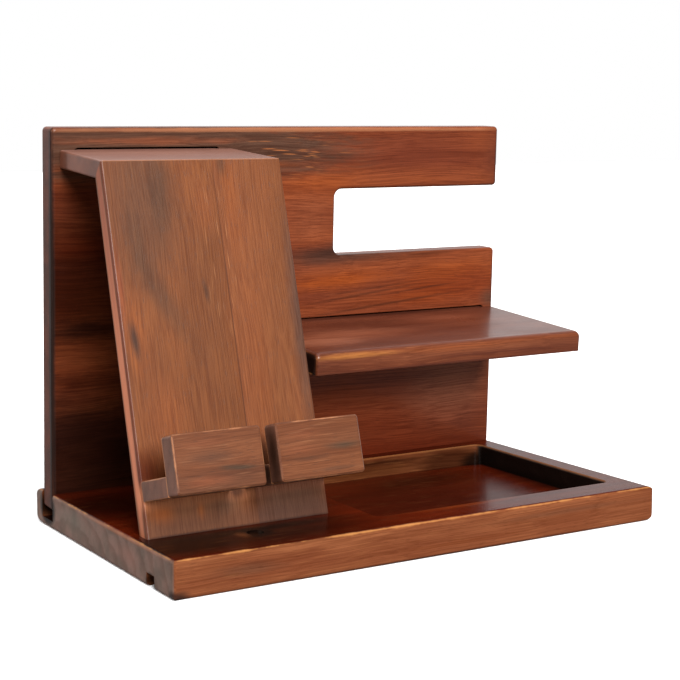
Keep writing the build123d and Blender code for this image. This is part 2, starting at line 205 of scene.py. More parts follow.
# A cloud or streak in the stain, or a painted shade or highlight, ragged along the grain.
stain_and_painted_light_patch, patch_in, patch_out = new_group(
    "stain_and_painted_light_patch",
    {"Point": "v", "Centre": "v", "Reach": "v", "Slant": "f", "Ragged": "f", "Soft": "f"},
    {"Mask": "f"},
)
patch_point = vector_of(stain_and_painted_light_patch, "SUBTRACT", patch_in["Point"], patch_in["Centre"])
patch_turn = {"Vector": patch_point, "Axis": (0.0, 0.0, 1.0), "Angle": patch_in["Slant"]}
patch_turn = put(stain_and_painted_light_patch, "ShaderNodeVectorRotate", patch_turn, rotation_type="AXIS_ANGLE").outputs[0]
patch_distance = length_of(stain_and_painted_light_patch, vector_of(stain_and_painted_light_patch, "DIVIDE", patch_turn, patch_in["Reach"]))
rags_a_metre = (60.0, 330.0, 330.0)
patch_place = vector_of(stain_and_painted_light_patch, "MULTIPLY", patch_in["Point"], rags_a_metre)
patch_noise = noise_of(stain_and_painted_light_patch, patch_place, 1.0, 4.0, 0.6)[0]
patch_noise = sum_of(stain_and_painted_light_patch, "SUBTRACT", patch_noise, 0.5)
patch_edge = sum_of(stain_and_painted_light_patch, "MULTIPLY_ADD", patch_noise, patch_in["Ragged"], patch_distance)
patch_inner = sum_of(stain_and_painted_light_patch, "SUBTRACT", 1.0, patch_in["Soft"])
stain_and_painted_light_patch.links.new(ramp_of(stain_and_painted_light_patch, patch_edge, patch_inner, 1.0, 1.0, 0.0), patch_out["Mask"])

# The rim of a round-cornered cut, such as the tray's mouth, in the board's own X and Y. With a height
# in its half size it is the cut's wall.
cut_rim, rim_in, rim_out = new_group(
    "cut_rim",
    {"Point": "v", "Centre": "v", "Half Size": "v", "Corner": "f", "Width": "f"},
    {"Rim": "f"},
)
rim_point = vector_of(cut_rim, "ABSOLUTE", vector_of(cut_rim, "SUBTRACT", rim_in["Point"], rim_in["Centre"]))
rim_point = vector_of(cut_rim, "SUBTRACT", rim_point, rim_in["Half Size"])
rim_parts = put(cut_rim, "ShaderNodeSeparateXYZ", {0: rim_point}).outputs
rim_x = sum_of(cut_rim, "ADD", rim_parts[0], rim_in["Corner"])
rim_y = sum_of(cut_rim, "ADD", rim_parts[1], rim_in["Corner"])
rim_past = {0: sum_of(cut_rim, "MAXIMUM", rim_x, 0.0), 1: sum_of(cut_rim, "MAXIMUM", rim_y, 0.0)}
rim_outer = length_of(cut_rim, put(cut_rim, "ShaderNodeCombineXYZ", rim_past).outputs[0])
rim_inner = sum_of(cut_rim, "MINIMUM", sum_of(cut_rim, "MAXIMUM", rim_x, rim_y), 0.0)
rim_distance = sum_of(cut_rim, "ADD", rim_outer, rim_inner)
rim_distance = sum_of(cut_rim, "SUBTRACT", rim_distance, rim_in["Corner"])
rim_distance = sum_of(cut_rim, "ABSOLUTE", rim_distance)
rim_share = sum_of(cut_rim, "DIVIDE", rim_distance, rim_in["Width"])
rim_depth = sum_of(cut_rim, "MAXIMUM", rim_parts[2], 0.0)
rim_depth = sum_of(cut_rim, "DIVIDE", rim_depth, rim_in["Width"])
rim_share = sum_of(cut_rim, "MAXIMUM", rim_share, rim_depth)
cut_rim.links.new(ramp_of(cut_rim, rim_share, 0.2, 1.0, 1.0, 0.0), rim_out["Rim"])


# A colour as it shows under the lamps, 0 to 255. Light is how bright they are on that side of the wood,
# which is taken off again. A tint that multiplies another colour has a light of 1.
def wood_colour(red, green, blue, light=2.1):
    shares = (channel / 255 for channel in (red, green, blue))
    linear = (share / 12.92 if share < 0.04045 else ((share + 0.055) / 1.055) ** 2.4 for share in shares)
    return (*(share / light for share in linear), 1.0)


# A board's middle, and its half size along its grain, across it and through it.
def board_extent(node, turn):
    board = nodes[node]
    spots = [turn.inverted() @ (board.matrix_world @ vertex.co) for vertex in board.data.vertices]
    low = Vector(min(spot[axis] for spot in spots) for axis in range(3))
    high = Vector(max(spot[axis] for spot in spots) for axis in range(3))
    return turn @ ((low + high) / 2), (high - low) / 2


# A cloud or streak in the stain, or a painted shadow, shade or highlight. Its place and reach are shares of
# the board's half size, X along the grain and Z out of the face, and its slant is in degrees.
def stain_and_painted_light(tone, place, reach, strength=0.8, slant=0.0, ragged=0.5, soft=0.95):
    return tone, place, reach, strength, slant, ragged, soft


def patch_mask(tree, point, half, place, reach, slant=0.0, ragged=0.1, soft=0.5):
    patch = put(tree, "ShaderNodeGroup", {"Point": point}, node_tree=stain_and_painted_light_patch)
    patch.inputs["Centre"].default_value = Vector(place) * half
    patch.inputs["Reach"].default_value = Vector(reach) * half
    patch.inputs["Slant"].default_value = math.radians(slant)
    patch.inputs["Ragged"].default_value = ragged
    patch.inputs["Soft"].default_value = soft
    return patch.outputs["Mask"]


# A board's finish: the wood's own tones, with its top faces in a tone of their own that on some boards is
# partly painted shade or a painted sheen, clouds in the stain and painted shade and light, rings, fibres,
# pores and flecks, the end grain, the rubbed arrises, the rims of its cuts, rubbed or in painted shadow, dark
# seams and painted shade and highlights at its edges and in its hollows, and varnish over all. Bare is where
# the arrises aren't rubbed. A rim is a colour, the cut's middle, half size and corner, and the rim's width
# and strength.
def finish_board(
    node, wood, seed, turn, tones, grain, gloss,
    clouds_and_painted_light=(), seams_and_painted_light=(), rims=(), bare=(), flecked=None, arris=None,
):
    middle, half = board_extent(node, turn)
    material = bpy.data.materials.new(node + "_" + wood)
    material.use_nodes = True
    tree = material.node_tree
    shader = tree.nodes["Principled BSDF"]
    coordinates = put(tree, "ShaderNodeTexCoord").outputs
    own_axes = {"Vector": coordinates["Object"], "Location": middle, "Rotation": turn.to_euler()}
    point = put(tree, "ShaderNodeMapping", own_axes, vector_type="TEXTURE").outputs[0]

    def facing(axis):
        normal = {0: coordinates["Normal"], 1: turn @ Vector(axis)}
        return put(tree, "ShaderNodeVectorMath", normal, operation="DOT_PRODUCT").outputs["Value"]

    def product(a, b):
        return sum_of(tree, "MULTIPLY", a, b)

    def with_stain_and_painted_light(tone, patches):
        for colour, place, reach, strength, slant, ragged, soft in patches:
            mask = patch_mask(tree, point, half, place, reach, slant, ragged, soft)
            tone = blend_of(tree, product(mask, strength), tone, colour)
        return tone

    figure = put(tree, "ShaderNodeGroup", {"Point": point, "Seed": seed}, node_tree=board_grain)
    for label in ("Fibre", "Length", "Ring", "Wander", "Pith"):
        figure.inputs[label].default_value = grain[label]
    figure = figure.outputs
    tone = blend_of(tree, figure["Cloud"], tones["light"], tones["dark"])
    if "face" in tones:
        face_tone = blend_of(tree, figure["Cloud"], tones["face"], tones["face_dark"])
        tone = blend_of(tree, ramp_of(tree, facing((0, 0, 1)), 0.6, 0.95), tone, face_tone)
    tone = with_stain_and_painted_light(tone, clouds_and_painted_light)
    ring_share = product(figure["Rings"], grain["ring_depth"])
    tone = blend_of(tree, ring_share, tone, tones["ring"], way="MULTIPLY")
    fibre_share = ramp_of(tree, figure["Fibres"], 0.0, 1.0, grain["fibre_depth"], 0.0, smooth=False)
    tone = blend_of(tree, fibre_share, tone, tones["fibre"], way="MULTIPLY")
    tone = blend_of(tree, product(figure["Pores"], grain["pore_depth"]), tone, tones["pore"])
    fleck_share = product(figure["Flecks"], grain["fleck_depth"])
    if flecked:
        fleck_share = product(fleck_share, patch_mask(tree, point, half, **flecked))
    tone = blend_of(tree, fleck_share, tone, tones["fleck"])

    end = put(tree, "ShaderNodeGroup", {"Point": point, "Seed": seed}, node_tree=end_grain).outputs
    end_tone = blend_of(tree, end["Mottle"], tones["end"], tones["end_dark"])
    end_tone = blend_of(tree, ring_share, end_tone, tones["ring"], way="MULTIPLY")
    end_tone = blend_of(tree, product(end["Dots"], 0.3), end_tone, tones["pore"])
    end_share = ramp_of(tree, sum_of(tree, "ABSOLUTE", facing((1, 0, 0))), 0.6, 0.9)
    tone = blend_of(tree, end_share, tone, end_tone)

    if arris:
        edge = {"Point": point, "Seed": seed, "Half Size": half, "Width": arris["width"]}
        edge = put(tree, "ShaderNodeGroup", edge, node_tree=worn_arris).outputs
        rubbed = product(edge["Arris"], arris["rubbed"])
        for place, reach in bare:
            kept = sum_of(tree, "SUBTRACT", 1.0, patch_mask(tree, point, half, place, reach))
            rubbed = product(rubbed, kept)
        tone = blend_of(tree, product(edge["Dark"], arris["shade"]), tone, tones["ring"], way="MULTIPLY")
        tone = blend_of(tree, rubbed, tone, tones["arris"])
    for colour, centre, size, corner, width, strength in rims:
        rim = {"Point": point, "Centre": centre, "Half Size": size, "Corner": corner, "Width": width}
        rim = put(tree, "ShaderNodeGroup", rim, node_tree=cut_rim).outputs
        tone = blend_of(tree, product(rim["Rim"], strength), tone, colour)
    tone = with_stain_and_painted_light(tone, seams_and_painted_light)

    coat = {"Point": point, "Seed": seed}
    coat |= {"Matt": gloss["matt"], "Uneven": gloss["uneven"], "Sheen": gloss["sheen"]}
    coat = put(tree, "ShaderNodeGroup", coat, node_tree=varnish).outputs
    height = sum_of(tree, "ADD", figure["Height"], coat["Height"])
    bump = put(tree, "ShaderNodeBump", {"Height": height, "Strength": 0.3, "Distance": 0.00015})
    tree.links.new(tone, shader.inputs["Base Color"])
    tree.links.new(coat["Roughness"], shader.inputs["Roughness"])
    tree.links.new(coat["Coat"], shader.inputs["Coat Weight"])
    tree.links.new(bump.outputs[0], shader.inputs["Normal"])
    shader.inputs["Coat Roughness"].default_value = 0.12
    shader.inputs["Specular IOR Level"].default_value = gloss["specular"]
    nodes[node].material_slots[0].material = material


base_turn = Matrix.Identity(3)
base_umber = wood_colour(128, 84, 60)
# Painted shadow, for the groove, the channel's notch, the cable hole and the tray's right wall and back
# corner.
base_shadow = wood_colour(18, 10, 7)
base_plum = wood_colour(105, 42, 18)
base_rubbed = wood_colour(226, 156, 90)
tray_middle = (0.0565, -0.00715, 0.01)
tray_half_size = (0.0785, 0.063, 0.0)
tray_corner = 0.0045
# Where the tray's right wall lies, which is given a painted shadow.
tray_wall_middle = (0.135, -0.00715, 0.0026)
tray_wall_half_size = (0.0, 0.062, 0.0052)
finish_board(
    "base_board", "wood", 3.0, base_turn,
    tones={
        "light": wood_colour(168, 103, 65), "dark": wood_colour(152, 87, 54),
        "ring": wood_colour(190, 158, 140, 1.0), "fibre": wood_colour(165, 130, 112, 1.0),
        "pore": wood_colour(80, 36, 18), "fleck": wood_colour(205, 135, 80),
        "end": wood_colour(111, 86, 76, 1.0), "end_dark": wood_colour(88, 72, 63, 1.0),
        # The top faces take a darker tone: partly a darker stain, partly painted shade and a painted
        # reflection of the dark panel.
        "face": wood_colour(114, 36, 12), "face_dark": wood_colour(95, 29, 10), "arris": base_rubbed,
    },
    grain={
        "Fibre": 1500.0, "Length": 130.0, "Ring": 0.0105, "Wander": 0.007, "Pith": (0.0, 0.035, -0.055),
        "ring_depth": 0.35, "fibre_depth": 0.6, "pore_depth": 0.35, "fleck_depth": 0.1,
    },
    clouds_and_painted_light=(
        stain_and_painted_light(base_umber, (-0.74, -1, 0), (0.2, 0.07, 0.5), 0.7, ragged=0.7),
        stain_and_painted_light(wood_colour(140, 74, 40), (0.13, -1, -0.4), (0.4, 0.07, 0.25), 0.6, ragged=0.7),
        stain_and_painted_light(base_umber, (0.55, -1, 0.35), (0.5, 0.07, 0.25), 0.5, ragged=0.8),
        # Painted shade along the front's bottom arris, where it meets the table.
        stain_and_painted_light(wood_colour(62, 30, 18), (0, -1, -1), (1.2, 0.03, 0.2), 0.95, ragged=0.25),
        stain_and_painted_light(base_plum, (0.96, -0.66, 1), (0.17, 1, 0.3), 0.8, ragged=0.2),
        stain_and_painted_light(base_plum, (0.73, -0.9, 1), (0.4, 0.1, 0.3), 0.8, ragged=0.2),
        # Painted shade on the top round the phone stand: in front of the plate, behind it, at its left and
        # along its foot.
        stain_and_painted_light(wood_colour(40, 11, 4), (-0.55, -0.8, 1), (0.6, 0.4, 0.3), 0.85, ragged=0.3),
        stain_and_painted_light(wood_colour(36, 10, 4), (-0.92, 0.3, 1), (0.35, 0.6, 0.3), 0.9, ragged=0.3),
        stain_and_painted_light(wood_colour(28, 12, 7), (-0.95, -0.72, 1), (0.4, 0.34, 0.3), 0.9, ragged=0.2, soft=0.7),
        stain_and_painted_light(wood_colour(20, 9, 5), (-0.6, -0.65, 1), (0.55, 0.09, 0.3), 0.9, ragged=0.2),
        stain_and_painted_light(wood_colour(160, 70, 26), (0.22, -0.8, 1), (0.3, 0.07, 0.3), 0.6, ragged=0.8),
        # Painted shade in the tray under the shelf: its floor and back wall darker, with a darker streak and
        # a darker right end on the back wall.
        stain_and_painted_light(wood_colour(71, 20, 9), (0.3, -0.08, -0.2), (0.75, 0.9, 0.3), 0.9, ragged=0.2),
        stain_and_painted_light(wood_colour(97, 52, 26), (0.3, 0.61, 0.2), (0.8, 0.04, 1.1), 0.95, ragged=0.4),
        stain_and_painted_light(wood_colour(60, 28, 13), (0.35, 0.61, 0.6), (0.6, 0.04, 0.25), 0.7, ragged=0.8),
        stain_and_painted_light(wood_colour(46, 17, 8), (0.5, 0.38, -0.2), (0.4, 0.22, 0.3), 0.7, ragged=0.5),
        stain_and_painted_light(wood_colour(66, 31, 16), (0.76, 0.61, 0), (0.28, 0.05, 1.6), 0.85, ragged=0.3, soft=0.7),
    ),
    bare=(
        ((0, -1, -1), (3, 0.04, 0.4)), ((0, 0.44, 1), (0.985, 1.34, 0.4)),
        ((-1, -1, 0), (0.02, 0.05, 1.6)),
    ),
    seams_and_painted_light=(
        # Painted shade: the tray's right wall and its back right corner, the groove, the notch of the channel
        # underneath and the cable hole. Over the hole's rim a brown patch is a painted glow of its lit far
        # wall.
        stain_and_painted_light(base_shadow, (0.895, -0.08, -0.2), (0.09, 0.9, 0.6), 0.6, ragged=0.1, soft=0.8),
        stain_and_painted_light(base_shadow, (0.89, 0.61, -0.4), (0.12, 0.08, 1.38), 0.9, ragged=0.5, soft=0.6),
        stain_and_painted_light(base_shadow, (-1, 0.8, 0.1), (0.35, 0.15, 1.2), 0.95, ragged=0.1, soft=0.4),
        stain_and_painted_light(base_shadow, (-1, -0.71, -0.75), (0.12, 0.072, 0.62), 0.9, ragged=0.1, soft=0.4),
        stain_and_painted_light(base_shadow, (-0.614, -0.71, -0.25), (0.09, 0.15, 3.0), 0.9, ragged=0.1, soft=0.4),
        stain_and_painted_light(wood_colour(112, 60, 32), (-0.667, -0.72, 1), (0.034, 0.09, 0.3), 0.7, ragged=0.3),
        stain_and_painted_light(wood_colour(92, 86, 76, 1.0), (-1, 0.4, 0.1), (0.02, 0.35, 0.9), 0.4, ragged=0.5),
        stain_and_painted_light(wood_colour(130, 88, 76, 1.0), (-1, -0.4, 0), (0.02, 0.25, 0.9), 0.4, ragged=0.5),
        stain_and_painted_light(wood_colour(150, 88, 54, 1.5), (-1, -0.3, 0.9), (0.008, 0.9, 0.2), 0.6),
        stain_and_painted_light(wood_colour(140, 94, 82, 1.5), (-1, 0, -0.95), (0.008, 1.1, 0.2), 0.5),
        stain_and_painted_light(wood_colour(52, 32, 26), (-0.99, -0.98, -0.9), (0.07, 0.06, 0.5), 0.9, ragged=0.3, soft=0.6),
    ),
    rims=(
        (base_rubbed, tray_middle, tray_half_size, tray_corner, 0.0013, 0.2),
        # Painted shadow on the tray's right wall.
        (base_shadow, tray_wall_middle, tray_wall_half_size, 0.0, 0.0024, 0.97),
    ),
    arris={"width": 0.0013, "shade": 0.1, "rubbed": 0.8},
    gloss={"matt": 0.24, "uneven": 0.06, "sheen": 0.08, "specular": 0.05},
)


# Back panel
# The upright board, leaning a little forward in its groove. The same stained hardwood, with its
# grain lying level and darker clouds round the slot, which is routed in from the right.
panel_lean_deg = 2.24
panel_turn = Matrix.Rotation(math.radians(90 + panel_lean_deg), 3, "X")
panel_grey = wood_colour(106, 75, 59)
panel_smoke = wood_colour(92, 62, 50)
panel_orange = wood_colour(192, 94, 36)
panel_red = wood_colour(152, 68, 32)
panel_streak = wood_colour(84, 44, 28)
panel_painted_shade = wood_colour(40, 18, 12)
finish_board(
    "back_panel", "wood", 11.0, panel_turn,
    tones={
        "light": wood_colour(168, 86, 47), "dark": wood_colour(144, 71, 43),
        "ring": wood_colour(185, 150, 135, 1.0), "fibre": wood_colour(150, 116, 100, 1.0),
        "pore": wood_colour(70, 32, 18), "fleck": wood_colour(205, 122, 68),
        "end": wood_colour(90, 40, 20, 1.2), "end_dark": wood_colour(60, 27, 13, 1.2),
        "arris": wood_colour(184, 98, 54),
    },
    grain={
        "Fibre": 1500.0, "Length": 100.0, "Ring": 0.013, "Wander": 0.010, "Pith": (0.05, -0.03, -0.075),
        "ring_depth": 0.28, "fibre_depth": 0.65, "pore_depth": 0.35, "fleck_depth": 0.85,
    },
    clouds_and_painted_light=(
        stain_and_painted_light(panel_grey, (-0.5, 0.88, 1), (1.0, 0.22, 1.3), 0.95, ragged=0.7, soft=0.5),
        stain_and_painted_light(panel_orange, (-0.2, 0.8, 1), (0.35, 0.03, 1.3), 0.6, ragged=1.4),
        stain_and_painted_light(wood_colour(188, 104, 66), (-0.6, 0.93, 1), (0.6, 0.03, 1.3), 0.45, ragged=1.4),
        stain_and_painted_light(panel_streak, (-0.4, 0.88, 1), (0.7, 0.03, 1.3), 0.5, ragged=1.4),
        stain_and_painted_light(panel_streak, (-0.15, 0.75, 1), (0.35, 0.025, 1.3), 0.7, ragged=1.4),
        stain_and_painted_light(panel_orange, (0.13, 0.7, 1), (0.27, 0.07, 1.3), 0.45),
        stain_and_painted_light(wood_colour(170, 93, 58), (0.08, 0.5, 1), (0.2, 0.18, 1.3), 0.85, ragged=0.3),
        stain_and_painted_light(panel_smoke, (0.26, 0.3, 1), (0.46, 0.09, 1.3), 0.85, slant=-2, soft=0.8),
        stain_and_painted_light(wood_colour(58, 34, 26), (0.2, 0.31, 1), (0.2, 0.035, 1.3), 0.5, ragged=0.7),
        stain_and_painted_light(panel_streak, (0.65, 0.28, 1), (0.3, 0.03, 1.3), 0.6, slant=-3, ragged=1.0),
        stain_and_painted_light(panel_orange, (0.2, 0.15, 1), (0.4, 0.07, 1.3), 0.85, slant=-3),
        stain_and_painted_light(panel_orange, (0.75, 0.17, 1), (0.35, 0.1, 1.3), 0.6, slant=-3),
        stain_and_painted_light(wood_colour(156, 67, 23), (0.74, 0.08, 1), (0.45, 0.14, 1.3), 0.8, slant=-3),
        stain_and_painted_light(panel_streak, (0.36, 0.07, 1), (0.4, 0.012, 1.3), 0.6, slant=-6, ragged=0.9),
        stain_and_painted_light(panel_streak, (0.4, 0.1, 1), (0.35, 0.008, 1.3), 0.5, slant=-5, ragged=0.9),
        stain_and_painted_light(panel_streak, (0.5, 0.01, 1), (0.55, 0.012, 1.3), 0.7, slant=-5, ragged=0.9),
        stain_and_painted_light(panel_streak, (0.62, 0.08, 1), (0.35, 0.009, 1.3), 0.6, slant=-5, ragged=0.9),
        stain_and_painted_light(panel_red, (0.9, 0.1, 1), (0.2, 0.13, 1.3), 0.6),
        stain_and_painted_light(panel_grey, (0.98, 0.0, 1), (0.07, 0.08, 1.3), 0.7),
        stain_and_painted_light(wood_colour(138, 66, 42), (0.7, 0.86, 1), (0.5, 0.17, 1.3), 0.7, ragged=0.4),
        stain_and_painted_light(wood_colour(192, 94, 56), (0.45, -0.5, 1), (0.8, 0.4, 1.3), 0.9, ragged=0.5, soft=0.7),
        stain_and_painted_light(wood_colour(214, 130, 94), (0.78, -0.5, 1), (0.32, 0.37, 1.3), 0.8, ragged=0.4),
        stain_and_painted_light(wood_colour(132, 52, 26), (0.45, -0.92, 1), (1.2, 0.3, 1.3), 0.9, ragged=0.2, soft=0.8),
        stain_and_painted_light(wood_colour(108, 44, 26), (0.85, -0.87, 1), (0.5, 0.16, 1.3), 0.7, ragged=0.3),
        # Painted shade behind the phone plate on the panel's left part: dark, with dim reddish bands in it.
        stain_and_painted_light(wood_colour(60, 19, 7), (-0.98, 0.2, 1), (0.44, 0.66, 1.3), 0.92, ragged=0.3),
        stain_and_painted_light(wood_colour(104, 36, 15), (-0.86, 0.4, 1), (0.27, 0.1, 1.3), 0.6, ragged=0.7),
        stain_and_painted_light(panel_painted_shade, (-0.85, -0.02, 1), (0.3, 0.09, 1.3), 0.8, ragged=0.7),
        stain_and_painted_light(wood_colour(34, 15, 12), (-0.92, -0.7, 1), (0.58, 0.54, 1.3), 0.92, ragged=0.3, soft=0.7),
        stain_and_painted_light(wood_colour(70, 24, 12), (-0.86, -0.3, 1), (0.3, 0.08, 1.3), 0.5, slant=4, ragged=0.9),
    ),
    bare=(((0, -1, 0), (1.2, 0.1, 1.6)), ((-1, 0, 1), (0.03, 1.5, 0.7))),
    seams_and_painted_light=(
        # A painted highlight along the rounded top arris.
        stain_and_painted_light(wood_colour(190, 122, 84), (0, 0.985, 1), (1.5, 0.016, 0.8), 0.65, ragged=0.6, soft=0.6),
        # Painted shade along the left end's front arris.
        stain_and_painted_light(wood_colour(30, 17, 11), (-1, 0.05, 0.75), (0.02, 1.6, 0.5), 0.9, ragged=0.2, soft=0.6),
        stain_and_painted_light(wood_colour(104, 50, 34), (1, 0.8, 1), (0.12, 0.35, 1.3), 0.6, ragged=0.2),
        stain_and_painted_light(wood_colour(60, 30, 22), (1, 0.78, 1), (0.022, 0.3, 0.8), 0.85, ragged=0.2),
        stain_and_painted_light(wood_colour(84, 50, 40), (1, 0.05, 1), (0.022, 0.3, 0.8), 0.75, ragged=0.2),
    ),
    flecked={"place": (-0.05, 0.84, 1), "reach": (0.46, 0.17, 1.3), "ragged": 0.4, "soft": 0.9},
    arris={"width": 0.0014, "shade": 0.15, "rubbed": 0.5},
    gloss={"matt": 0.33, "uneven": 0.08, "sheen": 0.12, "specular": 0.08},
)


# Accessory shelf
# A thinner board tenoned into the panel below the slot. It tips down a little in its loose mortise,
# and its rounded front top arris is rubbed to pale orange.
shelf_slope_deg = 4.33
shelf_turn = Matrix.Rotation(math.radians(shelf_slope_deg), 3, "X")
finish_board(
    "accessory_shelf", "wood", 17.0, shelf_turn,
    tones={
        "light": wood_colour(144, 79, 49), "dark": wood_colour(125, 66, 42),
        "ring": wood_colour(190, 158, 142, 1.0), "fibre": wood_colour(160, 128, 112, 1.0),
        "pore": wood_colour(74, 34, 20), "fleck": wood_colour(190, 118, 78),
        "end": wood_colour(60, 34, 24), "end_dark": wood_colour(36, 22, 18),
        "face": wood_colour(135, 75, 54), "face_dark": wood_colour(113, 61, 45),
        "arris": wood_colour(208, 132, 76),
    },
    grain={
        "Fibre": 1500.0, "Length": 90.0, "Ring": 0.015, "Wander": 0.010, "Pith": (0.0, 0.05, -0.08),
        "ring_depth": 0.4, "fibre_depth": 0.6, "pore_depth": 0.35, "fleck_depth": 0.2,
    },
    clouds_and_painted_light=(
        stain_and_painted_light(wood_colour(206, 132, 68), (-0.75, -1, 0.55), (0.5, 0.1, 0.4), 0.8, ragged=0.9),
        # Painted sheen: pale pinkish patches on the top, brightest towards the left front.
        stain_and_painted_light(wood_colour(180, 108, 78), (-0.5, -0.2, 1), (0.6, 0.4, 1), 0.7, ragged=0.7),
        stain_and_painted_light(wood_colour(192, 122, 92), (-0.75, -0.45, 1), (0.38, 0.4, 1), 0.7, ragged=0.8),
        stain_and_painted_light(wood_colour(176, 106, 80), (0.35, 0.3, 1), (0.5, 0.3, 1), 0.5, ragged=0.7),
        stain_and_painted_light(wood_colour(86, 44, 32), (0.1, 0.75, 1), (0.9, 0.16, 1), 0.5, ragged=0.7),
        stain_and_painted_light(wood_colour(110, 54, 38), (0.3, -1, -0.3), (0.7, 0.1, 0.3), 0.5, ragged=0.8),
        stain_and_painted_light(wood_colour(176, 96, 52), (0.0, -1, 0.4), (0.6, 0.1, 0.4), 0.5, ragged=0.9),
    ),
    bare=(
        ((0, -1, -1), (3, 0.1, 0.7)), ((0, 0.9, 0), (3, 0.6, 1.7)), ((0.9, -1, 1), (1.1, 0.3, 1)),
        ((1, 0, 0), (0.05, 1.2, 1.7)), ((-1, 0, 0), (0.05, 1.2, 1.7)),
    ),
    # Painted shade along the front's bottom arris.
    seams_and_painted_light=(stain_and_painted_light(wood_colour(84, 36, 22), (0, -1, -1.05), (1.3, 0.06, 0.35), 0.85, ragged=0.2, soft=0.8),),
    arris={"width": 0.0012, "shade": 0.1, "rubbed": 0.75},
    gloss={"matt": 0.3, "uneven": 0.1, "sheen": 0.2, "specular": 0.12},
)


# Phone bridge
# The short board from the panel's top forward to the phone plate, mitred and dowelled to the plate.
# Its flat top is painted in a pale pinkish tone, a painted sheen.
bridge_slope_deg = 4.66
bridge_turn = Matrix.Rotation(math.radians(bridge_slope_deg), 3, "X")
finish_board(
    "phone_bridge", "wood", 23.0, bridge_turn,
    tones={
        "light": wood_colour(150, 96, 76), "dark": wood_colour(136, 84, 66),
        "ring": wood_colour(200, 180, 170, 1.0), "fibre": wood_colour(190, 168, 156, 1.0),
        "pore": wood_colour(84, 48, 36), "fleck": wood_colour(190, 130, 100),
        "end": wood_colour(122, 70, 50, 1.3), "end_dark": wood_colour(94, 55, 41, 1.3),
        # The top's pale pinkish tone is a painted sheen.
        "face": wood_colour(177, 128, 112), "face_dark": wood_colour(161, 113, 99),
        "arris": wood_colour(178, 118, 90),
    },
    grain={
        "Fibre": 1300.0, "Length": 34.0, "Ring": 0.012, "Wander": 0.008, "Pith": (0.0, 0.05, -0.06),
        "ring_depth": 0.15, "fibre_depth": 0.3, "pore_depth": 0.15, "fleck_depth": 0.1,
    },
    clouds_and_painted_light=(stain_and_painted_light(wood_colour(140, 92, 76), (0, 1, 1), (1.3, 0.35, 1), 0.6, ragged=0.2),),
    bare=(((0, 0.75, 0), (1.3, 0.9, 2.4)),),
    arris={"width": 0.0007, "shade": 0.1, "rubbed": 0.4},
    gloss={"matt": 0.36, "uneven": 0.06, "sheen": 0.3, "specular": 0.15},
)


